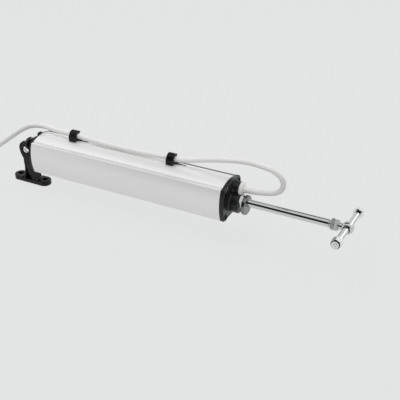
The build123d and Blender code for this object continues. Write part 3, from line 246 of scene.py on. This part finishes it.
def dark_card(name, place, aim, size, tone):
    """A card beside the part that only its polished pieces mirror."""
    card, tree, surface = sheet(name, size[0] / 2, size[1] / 2)
    card.location = place
    card.rotation_euler = (Vector(aim) - Vector(place)).to_track_quat("Z", "Y").to_euler()
    for ray in ("camera", "diffuse", "transmission", "shadow"):
        setattr(card, "visible_" + ray, False)
    tree.links.new(glow(tree, (*grey(tone), 1)), surface)


def mix_by_ray(tree, plain, seen):
    """Shows the second shader to the camera, to reflections and through glass, and the first to the rest."""
    path = tree.nodes.new("ShaderNodeLightPath")
    any_ray = path.outputs["Is Camera Ray"]
    for ray in ("Is Glossy Ray", "Is Transmission Ray"):
        either = tree.nodes.new("ShaderNodeMath")
        either.operation = "MAXIMUM"
        tree.links.new(any_ray, either.inputs[0])
        tree.links.new(path.outputs[ray], either.inputs[1])
        any_ray = either.outputs[0]
    mix = tree.nodes.new("ShaderNodeMixShader")
    tree.links.new(any_ray, mix.inputs[0])
    tree.links.new(plain, mix.inputs[1])
    tree.links.new(seen, mix.inputs[2])
    return mix.outputs[0]


def make_world():
    """Plain white light all round, and the background's colour where the camera sees it."""
    world = bpy.data.worlds.new("studio")
    scene.world = world
    world.use_nodes = True
    tree = world.node_tree
    tree.nodes.clear()
    out = tree.nodes.new("ShaderNodeOutputWorld")
    plain = tree.nodes.new("ShaderNodeBackground")
    plain.inputs["Color"].default_value = (1, 1, 1, 1)
    plain.inputs["Strength"].default_value = WORLD_STRENGTH
    seen = tree.nodes.new("ShaderNodeBackground")
    seen.inputs["Color"].default_value = BACKGROUND
    tree.links.new(mix_by_ray(tree, plain.outputs[0], seen.outputs[0]), out.inputs["Surface"])


def make_floor():
    """A pale floor that keeps the part's shadow and runs out to the background's colour."""
    floor, tree, surface = sheet("floor", FLOOR_HALF, FLOOR_HALF)
    diffuse = tree.nodes.new("ShaderNodeBsdfDiffuse")
    diffuse.inputs["Color"].default_value = FLOOR_DIFFUSE
    shown = tree.nodes.new("ShaderNodeMixShader")
    shown.inputs[0].default_value = FLOOR_GLOW
    tree.links.new(diffuse.outputs[0], shown.inputs[1])
    tree.links.new(glow(tree, BACKGROUND), shown.inputs[2])
    tree.links.new(mix_by_ray(tree, diffuse.outputs[0], shown.outputs[0]), surface)


def shader(name, color, metallic, roughness):
    """A material whose Principled shader has these plain values, with its tree for more nodes."""
    material = bpy.data.materials.new(name)
    material.use_nodes = True
    tree = material.node_tree
    body = tree.nodes["Principled BSDF"]
    body.inputs["Base Color"].default_value = (*color, 1)
    body.inputs["Metallic"].default_value = metallic
    body.inputs["Roughness"].default_value = roughness
    return material, tree, body


def noise(tree, scale, detail, stretch=(1, 1, 1)):
    """A noise texture in the part's own coordinates, stretched along an axis."""
    place = tree.nodes.new("ShaderNodeTexCoord")
    mapping = tree.nodes.new("ShaderNodeMapping")
    mapping.inputs["Scale"].default_value = stretch
    tree.links.new(place.outputs["Object"], mapping.inputs["Vector"])
    texture = tree.nodes.new("ShaderNodeTexNoise")
    texture.inputs["Scale"].default_value = scale
    texture.inputs["Detail"].default_value = detail
    tree.links.new(mapping.outputs[0], texture.inputs["Vector"])
    return texture.outputs["Fac"]


def ramp(tree, factor, low, high, start=0.3, end=0.7):
    """A factor mapped to colours between two stops."""
    node = tree.nodes.new("ShaderNodeValToRGB")
    first, last = node.color_ramp.elements
    first.position = start
    last.position = end
    first.color = (*low, 1)
    last.color = (*high, 1)
    tree.links.new(factor, node.inputs[0])
    return node.outputs["Color"]


def grey(value):
    return (value, value, value)


def bump(tree, body, height, strength, distance, edge=0.0):
    """A fine relief; with an edge, corners also catch light as if rounded to that radius."""
    node = tree.nodes.new("ShaderNodeBump")
    node.inputs["Strength"].default_value = strength
    node.inputs["Distance"].default_value = distance
    tree.links.new(height, node.inputs["Height"])
    tree.links.new(node.outputs[0], body.inputs["Normal"])
    if edge:
        rounded = tree.nodes.new("ShaderNodeBevel")
        rounded.inputs["Radius"].default_value = edge
        tree.links.new(rounded.outputs[0], node.inputs["Normal"])


def satin_aluminium(name, low, high):
    """Anodised aluminium with faint lines along the profile."""
    material, tree, body = shader(name, low, 0.35, 0.4)
    lines = noise(tree, 900, 3, (0.004, 1, 1))
    grain = noise(tree, 2600, 2)
    tree.links.new(ramp(tree, lines, low, high), body.inputs["Base Color"])
    tree.links.new(ramp(tree, lines, grey(0.36), grey(0.44)), body.inputs["Roughness"])
    bump(tree, body, grain, 0.06, 0.0001)
    return material


def black_plastic(name, low, high, gloss):
    """Moulded black plastic whose edges catch a little light."""
    material, tree, body = shader(name, low, 0, 0.3)
    grain = noise(tree, 3200, 2)
    cloud = noise(tree, 60, 3)
    tree.links.new(ramp(tree, cloud, low, high), body.inputs["Base Color"])
    tree.links.new(ramp(tree, cloud, grey(0.22), grey(0.34)), body.inputs["Roughness"])
    body.inputs["Specular IOR Level"].default_value = gloss
    bump(tree, body, grain, 0.08, 0.0002, 0.0005)
    return material


def chrome(name, tone, smoothest, roughest):
    """Plated metal of that grey, its polish a little uneven."""
    material, tree, body = shader(name, (tone, tone, tone * 1.01), 1, roughest)
    wear = noise(tree, 260, 4)
    tree.links.new(ramp(tree, wear, grey(smoothest), grey(roughest), end=0.75), body.inputs["Roughness"])
    return material


def zinc_steel():
    """Dull zinc-plated steel."""
    material, tree, body = shader("zinc_steel", (0.6, 0.6, 0.59), 1, 0.3)
    cloud = noise(tree, 500, 4)
    tree.links.new(ramp(tree, cloud, (0.5, 0.5, 0.49), (0.68, 0.68, 0.67)), body.inputs["Base Color"])
    tree.links.new(ramp(tree, cloud, grey(0.22), grey(0.4)), body.inputs["Roughness"])
    return material


def cloudy_metal(name, low, high, scale, detail):
    """Bare metal, and dark metal for a painted dark reflection; a little cloudy."""
    material, tree, body = shader(name, low, 1, 0.3)
    cloud = noise(tree, scale, detail)
    tree.links.new(ramp(tree, cloud, low, high), body.inputs["Base Color"])
    return material


def plain_moulded(name, low, high, roughness, grain=0.1, spread=0.06):
    """A moulded plastic or rubber with a fine grain and a little cloudiness."""
    material, tree, body = shader(name, low, 0, roughness)
    cloud = noise(tree, 140, 3)
    gloss = ramp(tree, cloud, grey(roughness - spread), grey(roughness + spread))
    tree.links.new(ramp(tree, cloud, low, high), body.inputs["Base Color"])
    tree.links.new(gloss, body.inputs["Roughness"])
    bump(tree, body, noise(tree, 2400, 2), grain, 0.0001)
    return material


def screw_plastic():
    """Black screw heads that hardly shine."""
    material = plain_moulded("screw_black", grey(0.001), grey(0.002), 0.55)
    material.node_tree.nodes["Principled BSDF"].inputs["Specular IOR Level"].default_value = 0.1
    return material


def dress(material, *names):
    """Gives CAD pieces that material."""
    for name in names:
        slots = nodes[name].data.materials
        slots.clear()
        slots.append(material)


def smooth(value):
    """Eases from 0 to 1 while the value goes from 0 to 1."""
    value = min(max(value, 0.0), 1.0)
    return value * value * (3 - 2 * value)


def coil_radius(turns):
    """Inwards by a pitch at the end of each turn on the floor, then outwards again on top."""
    most = LAYER_TURNS - 1
    inward = min(int(turns) + smooth((turns % 1 - 1 + STEP_SHARE) / STEP_SHARE), most)
    above = max(turns - LAYER_TURNS, 0)
    outward = min(int(above) + smooth((above % 1 - STEP_SHARE) / STEP_SHARE), most)
    return COIL_RADIUS + COIL_PITCH * (1 - inward + outward)


def coil_height(turns):
    low, high = LAYER_HEIGHTS
    return low + (high - low) * smooth((turns - RISE_START) / STEP_SHARE)


def coil_points():
    """Control points of the coil, a little outside the curve that they draw."""
    reach = 1 / (0.75 + 0.25 * cos(2 * pi / COIL_POINTS))
    points = []
    for step in range(1, COIL_TURNS * COIL_POINTS + 1):
        turns = step / COIL_POINTS
        radius = coil_radius(turns) * reach
        angle = pi / 2 + 2 * pi * turns
        x = COIL_CENTRE[0] + radius * cos(angle)
        y = COIL_CENTRE[1] + radius * sin(angle)
        points.append((x, y, coil_height(turns)))
    return points


def nurbs(name, points, radius):
    """A round NURBS tube with these millimetre control points."""
    curve = bpy.data.curves.new(name, "CURVE")
    curve.dimensions = "3D"
    curve.bevel_depth = radius
    curve.bevel_resolution = 5
    curve.resolution_u = 6
    curve.use_fill_caps = True
    spline = curve.splines.new("NURBS")
    spline.points.add(len(points) - 1)
    for point, place in zip(spline.points, points):
        point.co = (*(Vector(place) * MM), 1)
    spline.order_u = 3
    spline.use_endpoint_u = True
    tube = bpy.data.objects.new(name, curve)
    scene.collection.objects.link(tube)
    return tube


def make_cable(material):
    """The whole cable as one piece, from the gland to the end of its sheath."""
    cable = nurbs("free_cable", CABLE_ROUTE + coil_points() + TAIL_ROUTE, CABLE_RADIUS)
    cable.data.materials.append(material)
    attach(cable, "housing")
    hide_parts("supply_cable", "cable_coil", "cable_tail")


def add_piece(name, shape, material, body="housing", rounded=False):
    """A finished bmesh as a piece of the part that moves with a CAD body."""
    mesh = bpy.data.meshes.new(name)
    bmesh.ops.recalc_face_normals(shape, faces=shape.faces)
    for face in shape.faces:
        face.smooth = rounded
    shape.to_mesh(mesh)
    shape.free()
    piece = bpy.data.objects.new(name, mesh)
    scene.collection.objects.link(piece)
    mesh.materials.append(material)
    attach(piece, body)
    return piece


def rectangle(left, right, bottom, top):
    return [(left, bottom), (right, bottom), (right, top), (left, top)]


def set_in_place(shape, place):
    """Moves a bmesh drawn in millimetres to its place, in metres."""
    bmesh.ops.transform(shape, matrix=Matrix.Scale(MM, 4) @ place, verts=shape.verts)
    return shape


def loft(rows, closed=False):
    """A bmesh with a skin over rows of points, its ends filled or joined into a ring."""
    shape = bmesh.new()
    rows = [[shape.verts.new(point) for point in row] for row in rows]
    after = rows[1:] + rows[:1] if closed else rows[1:]
    for here, there in zip(rows, after):
        for k in range(len(here)):
            n = (k + 1) % len(here)
            shape.faces.new((here[k], here[n], there[n], there[k]))
    if not closed:
        shape.faces.new(rows[0])
        shape.faces.new(rows[-1])
    return shape


def prism(outline, start, end, place):
    """A prism of an outline of local X and Y, between two heights."""
    return set_in_place(loft([[(x, y, z) for x, y in outline] for z in (start, end)]), place)


def revolve(outline, place, radius_at=None, steps=48):
    """A closed outline of radius and height turned about local Z; radius_at trims each radius by angle."""
    rows = []
    for step in range(steps):
        angle = 2 * pi * step / steps
        row = []
        for radius, height in outline:
            reach = radius_at(angle, radius) if radius_at else radius
            row.append((reach * cos(angle), reach * sin(angle), height))
        rows.append(row)
    return set_in_place(loft(rows, closed=True), place)


def hex_nut(across, bore, start, end, turn, place):
    """A hexagon nut with a bore and chamfered corners, a corner at local angle turn."""
    flat = across / 2

    def trimmed(angle, radius):
        beside = angle % (pi / 3) - pi / 6
        return min(radius, flat / cos(beside))

    corner = flat / cos(pi / 6) + 0.01
    side = [(bore, 0)] + [(flat * share, inset) for share, inset in NUT_CHAMFER] + [(corner, NUT_CORNER)]
    outline = [(radius, start + inset) for radius, inset in side]
    outline += [(radius, end - inset) for radius, inset in reversed(side)]
    return revolve(outline, place @ Matrix.Rotation(turn, 4, "Z"), trimmed)


def along_x():
    """Local Z is the part's +X on the rod's axis, local X its +Y and local Y its +Z."""
    turn = Matrix(((0, 0, 1, 0), (1, 0, 0, 0), (0, 1, 0, 0), (0, 0, 0, 1)))
    return Matrix.Translation((0, 0, AXIS_HEIGHT)) @ turn


def towards_front():
    """Local Z is the part's -Y, local X its +X and local Y its +Z."""
    return Matrix(((1, 0, 0, 0), (0, 0, -1, 0), (0, 1, 0, 0), (0, 0, 0, 1)))


def along_pin():
    """Local Z runs along the cross pin to its far end, from the middle of the eye."""
    low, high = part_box("cross_pin")
    along = Vector((0, cos(PIN_CLOCK), -sin(PIN_CLOCK)))
    across = Vector((1, 0, 0))
    turn = Matrix((across, along.cross(across), along)).transposed().to_4x4()
    return Matrix.Translation(((low.x + high.x) / 2 / MM, 0, AXIS_HEIGHT)) @ turn


def bar(name, outline, start, end, material):
    """A bar along X on the housing, its outline in the part's Y and Z."""
    outline = [(y, z - AXIS_HEIGHT) for y, z in outline]
    add_piece(name, prism(outline, start, end, along_x()), material)


def front_strips(pale, dull):
    """What closes the profile's front groove, a tone darker as painted shade, and the lip beside it, paler
    as a painted highlight.
    """
    low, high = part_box("housing_profile")
    start, end = low.x / MM + STRIP_END_GAP, high.x / MM - STRIP_END_GAP
    bar("front_groove_strip", rectangle(*FRONT_STRIP), start, end, dull)
    bar("front_lip_strip", LIP_OUTLINE, start, end, pale)


def rear_groove_shades(dark):
    """Dark strips in the profile's rear groove, painted shade for the shadow inside the groove, cut at the
    clips.
    """
    low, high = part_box("housing_profile")
    cuts = [low.x / MM + STRIP_END_GAP]
    for clip in CLIPS:
        near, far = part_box(clip)
        cuts += [near.x / MM - STRIP_CLIP_GAP, far.x / MM + STRIP_CLIP_GAP]
    cuts.append(high.x / MM - STRIP_END_GAP)
    for number, (start, end) in enumerate(zip(cuts[::2], cuts[1::2]), 1):
        bar(f"rear_groove_painted_shade_{number}", rectangle(*REAR_GROOVE_SHADE), start, end, dark)


def pin_nuts(bright):
    """The two hexagon nuts on the cross pin."""
    place = along_pin()
    for name, (across, start, end), replaced in (
        ("near_pin_nut", NEAR_PIN_NUT, "pin_collars"),
        ("far_pin_nut", FAR_PIN_NUT, "pin_washers"),
    ):
        shape = hex_nut(across, NUT_BORE, start, end, PIN_NUT_TURN, place)
        piece = add_piece(name, shape, bright, "cross_pin")
        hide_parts(replaced)


def near_pin_end(bright, dark):
    """The near nut's face round the pin's end, and its chamfer, dark as a painted dark reflection."""
    place = along_pin()
    face = add_piece("near_nut_face", revolve(rectangle(*NEAR_FACE), place), bright, "cross_pin")
    add_piece("near_nut_chamfer", revolve(NEAR_CHAMFER, place), dark, "cross_pin")
    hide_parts("pin_end_nut")


def rod_nuts(dull, bright):
    """The rod's end nut, its lock nut and the guide's nut, their flats as the photo has them."""
    place = along_x()
    for name, across, bore, degrees, gap, material, body in (
        ("rod_end_nut", 13.0, NUT_BORE, 14, ROD_NUT_GAP, dull, "rod"),
        ("lock_nut", 13.0, NUT_BORE, 24, 0, dull, "rod"),
        ("guide_nut", 16.0, GUIDE_NUT_BORE, 42, 0, bright, "housing"),
    ):
        low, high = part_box(name)
        shape = hex_nut(across, bore, low.x / MM + gap, high.x / MM, radians(degrees), place)
        piece = add_piece(name + "_dressed", shape, material, body)
        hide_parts(name)


def eye_ring(bright):
    """The forged eye's rounded ring over the CAD ring."""
    outline = EYE_HALF + [(EYE_RADIUS, 0.0)] + [(radius, -height) for radius, height in reversed(EYE_HALF)]
    add_piece("eye_ring", revolve(outline, along_pin(), steps=64), bright, "rod", True)


def eye_gap_shades(dark):
    """A thin dark ring at each side of the eye, painted shade for the gap round the pin where it comes out.
    """
    for name, start in GAP_SHADE_STARTS:
        outline = rectangle(NUT_BORE, GAP_SHADE_RADIUS, start, start + GAP_SHADE_THICKNESS)
        add_piece(name, revolve(outline, along_pin()), dark, "cross_pin")


def cap_ridges(pale):
    """Short moulded ridges on the front cap's upper rim, pale as painted highlights."""
    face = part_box("front_gasket")[1].x / MM + CAP_DEPTH
    for number in range(CAP_RIDGES):
        share = number / (CAP_RIDGES - 1)
        y, z = (first + spread * share for first, spread in zip(RIDGE_FIRST, RIDGE_SPREAD))
        outline = [(y + side, z + up) for side, up in RIDGE_OUTLINE]
        bar(f"cap_ridge_{number + 1}", outline, face - RIDGE_SINK, face + RIDGE_RISE, pale)


def foot_step_edge(pale):
    """The step on the bracket's foot, its edge a pale strip of painted highlight."""
    shape = prism(rectangle(*STEP_EDGE), -FOOT_HALF_WIDTH, FOOT_HALF_WIDTH, towards_front())
    add_piece("foot_step_edge", shape, pale, "bracket")


def pivot_slot_shade(dark):
    """The dark floor of the pivot screw's slot."""
    screw = Matrix.Translation((0, SCREW_FACE, AXIS_HEIGHT)) @ towards_front()
    shape = prism(rectangle(*SLOT_FLOOR), *SLOT_DEPTHS, screw @ Matrix.Rotation(SLOT_TURN, 4, "Z"))
    add_piece("pivot_slot_shade", shape, dark, "bracket")


def clip_shadow_wedges(material):
    """A tapered dark wedge beside each clip, along the profile under the cable: painted shadow of the cable
    and the clip.
    """
    for clip in CLIPS:
        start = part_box(clip)[1].x / MM - SHADOW_WEDGE_OVERLAP
        rows = []
        for distance, inner, outer in SHADOW_WEDGE_SECTIONS:
            x = start + distance
            crown = [DOME_TOP - DOME_DROP * (y / GROOVE_INNER) ** 2 for y in (inner, outer)]
            rows.append([
                (x, inner, crown[0] - SHADOW_WEDGE_SINK),
                (x, inner, crown[0] + SHADOW_WEDGE_RISE),
                (x, outer, crown[1] + SHADOW_WEDGE_RISE),
                (x, outer, crown[1] - SHADOW_WEDGE_SINK),
            ])
        add_piece(clip + "_shadow_wedge", set_in_place(loft(rows), Matrix.Identity(4)), material)


def gland_ring(pale):
    """The gland's wide outer ring that fills the mouth of its boss."""
    place = Matrix.Translation((0, GLAND_TIP[1], GLAND_TIP[2] - AXIS_HEIGHT)) @ along_x()
    outline = [(radius, GLAND_MOUTH + height) for radius, height in GLAND_RING]
    add_piece("gland_ring", revolve(outline, place), pale, "housing", True)


make_camera()
make_world()
make_lights()
make_floor()
dark_card("front_card", *FRONT_CARD)
dark_card("back_card", *BACK_CARD)

aluminium = satin_aluminium("satin_aluminium", (0.9, 0.9, 0.895), (0.92, 0.92, 0.915))
# The front groove's strip: the profile's aluminium a tone darker, painted shade.
painted_shade_aluminium = satin_aluminium("painted_shade_aluminium", (0.8, 0.8, 0.795), (0.83, 0.83, 0.825))
# The front lip: the profile's aluminium paler, a painted highlight along its top.
painted_highlight_aluminium = satin_aluminium("painted_highlight_aluminium", (0.93, 0.93, 0.92), (0.97, 0.97, 0.96))
black = black_plastic("black_plastic", (0.0025, 0.0025, 0.003), (0.0045, 0.0045, 0.005), 0.26)
# The front cap: the same black plastic painted lighter, a painted sheen on its face.
cap_black_painted_sheen = black_plastic("cap_plastic_painted_sheen", (0.012, 0.0122, 0.0128), (0.017, 0.0172, 0.0178), 0.34)
bright_chrome = chrome("chrome", 0.66, 0.02, 0.06)
pin_nut_chrome = chrome("pin_nut_chrome", 0.85, 0.1, 0.2)
dull_chrome = chrome("dull_chrome", 0.55, 0.34, 0.46)
screw_zinc = chrome("screw_zinc", 0.92, 0.2, 0.3)
flange_steel = chrome("flange_steel", 0.24, 0.2, 0.3)
zinc = zinc_steel()
# Dark metal for the near nut's chamfer, a painted dark reflection.
painted_dark_reflection = cloudy_metal("painted_dark_reflection", (0.02, 0.02, 0.022), (0.05, 0.05, 0.052), 700, 3)
copper_alloy = cloudy_metal("bronze", (0.48, 0.32, 0.15), (0.6, 0.43, 0.22), 400, 4)
screw_black = screw_plastic()
# Pale grey for the cap's ridges and the foot's step edge, painted highlights.
painted_highlight_grey = plain_moulded("painted_highlight_grey", (0.48, 0.46, 0.42), (0.56, 0.54, 0.5), 0.4)
# Dark rubber for the gaskets and the wiper seal; the same dark serves as painted shade in the rear groove,
# round the pin at the eye and in the pivot screw's slot.
rubber_and_shade = plain_moulded("dark_rubber", grey(0.012), grey(0.02), 0.6)
grey_plastic = plain_moulded("grey_plastic", (0.78, 0.78, 0.77), (0.84, 0.84, 0.83), 0.45)
sheath = plain_moulded("cable_sheath", (0.78, 0.78, 0.77), (0.79, 0.79, 0.78), 0.46, grain=0.01, spread=0.01)
board_green = plain_moulded("circuit_board", (0.015, 0.13, 0.05), (0.025, 0.18, 0.07), 0.35)
core_brown = plain_moulded("core_insulation", (0.16, 0.06, 0.02), (0.2, 0.08, 0.03), 0.4)

dress(aluminium, "housing_profile")
dress(
    black, "rear_cap", "cable_clip_rear", "cable_clip_front", "mounting_bracket",
    "motor_end_bell", "bearing_carrier", "limit_switch_bodies", "board_components",
)
# The front cap in the lighter copy of the black plastic, a painted sheen.
dress(cap_black_painted_sheen, "front_cap")
dress(rubber_and_shade, "front_gasket", "rear_gasket", "rod_wiper_seal")
dress(screw_black, "front_cap_screws", "rear_cap_screws")
dress(screw_zinc, "pivot_screw")
dress(
    zinc, "pivot_nut", "motor_can", "gearbox_housing", "gearbox_output_shaft", "screw_coupling",
    "lead_screw", "bearing_inner_ring", "bearing_outer_ring", "bearing_balls",
)
dress(bright_chrome, "push_rod", "eye_bolt", "cross_pin")
dress(flange_steel, "guide_flange")
dress(copper_alloy, "rod_guide_bush", "drive_nut", "pivot_bush")
dress(grey_plastic, "cable_gland", "nut_guide_tube", "terminal_block", "limit_switch_plungers")
dress(sheath, "cable_inner_end")
dress(core_brown, "cable_cores")
dress(board_green, "control_board")

make_cable(sheath)
front_strips(painted_highlight_aluminium, painted_shade_aluminium)
# Dark strips of painted shade in the rear groove.
rear_groove_shades(rubber_and_shade)
pin_nuts(pin_nut_chrome)
near_pin_end(pin_nut_chrome, painted_dark_reflection)
rod_nuts(dull_chrome, bright_chrome)
eye_ring(bright_chrome)
eye_gap_shades(rubber_and_shade)
cap_ridges(painted_highlight_grey)
foot_step_edge(painted_highlight_grey)
pivot_slot_shade(rubber_and_shade)
# Black plastic here gives the dark wedges of painted shadow under the cable.
clip_shadow_wedges(black)
gland_ring(grey_plastic)
